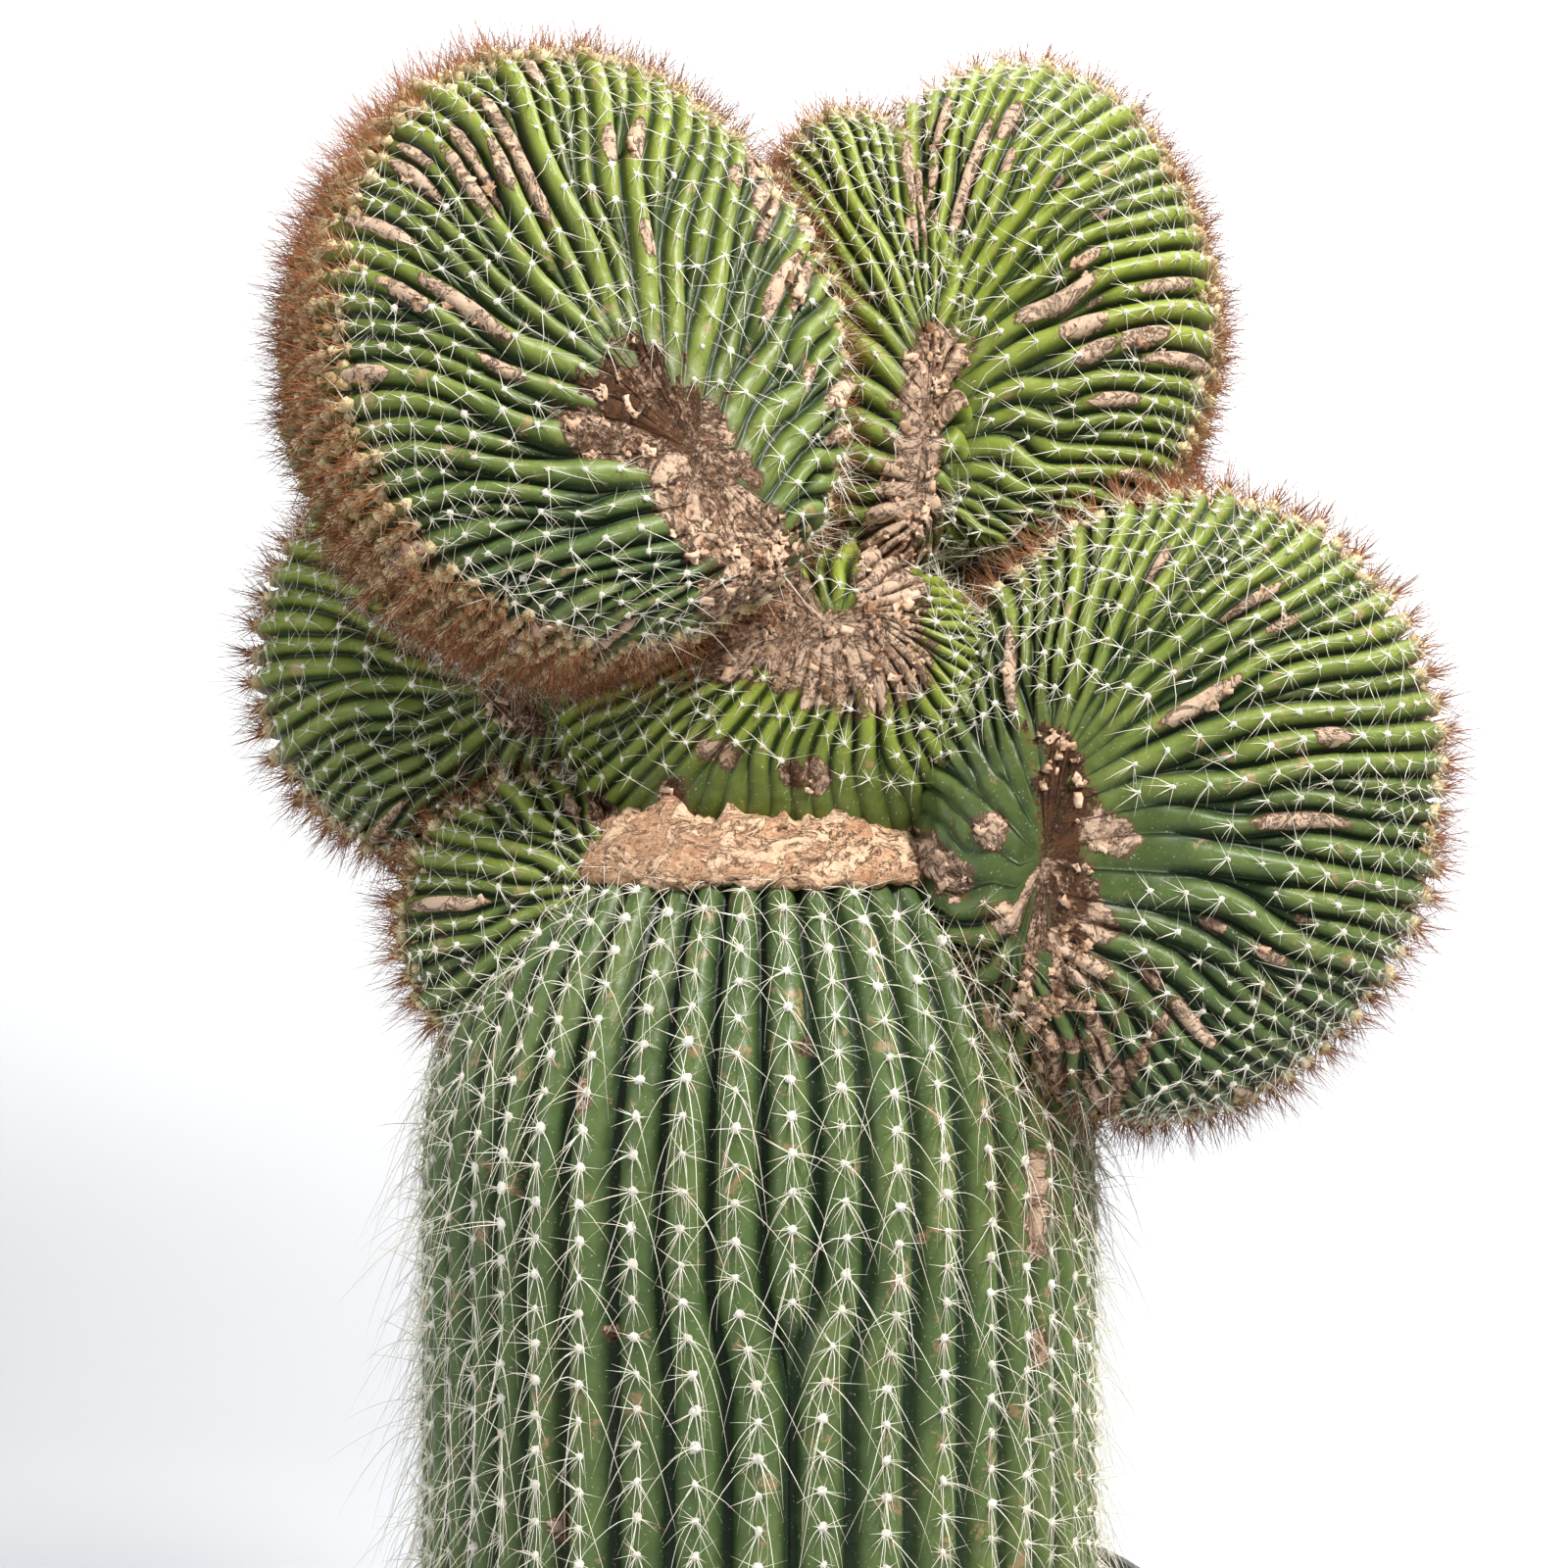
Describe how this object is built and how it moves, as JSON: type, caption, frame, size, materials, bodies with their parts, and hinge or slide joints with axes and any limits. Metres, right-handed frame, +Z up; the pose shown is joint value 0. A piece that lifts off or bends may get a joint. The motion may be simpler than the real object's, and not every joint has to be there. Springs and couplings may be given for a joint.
{
  "type": "potted tall cactus",
  "caption": "Thick ribbed cactus column with a fan-shaped crested head over a corky collar, growing in potting mix in a round tapered pot.",
  "frame": {"origin": "middle of the pot's flat underside, on the pot's own axis", "axes": "+Z up along the pot's axis; the crest's face with the corky scars looks along -Y; +X is to the viewer's right"},
  "size_m": [0.414, 0.3, 0.8266],
  "materials": {
    "cactus_flesh": "waxy green ribbed flesh with tan cork scars",
    "pot_plastic": "satin black",
    "potting_mix_soil": "loose gritty mix of bark and stone"
  },
  "bodies": {
    "root": {"cactus": "cactus_flesh", "pot": "pot_plastic", "potting_mix": "potting_mix_soil"}
  },
  "joints": []
}
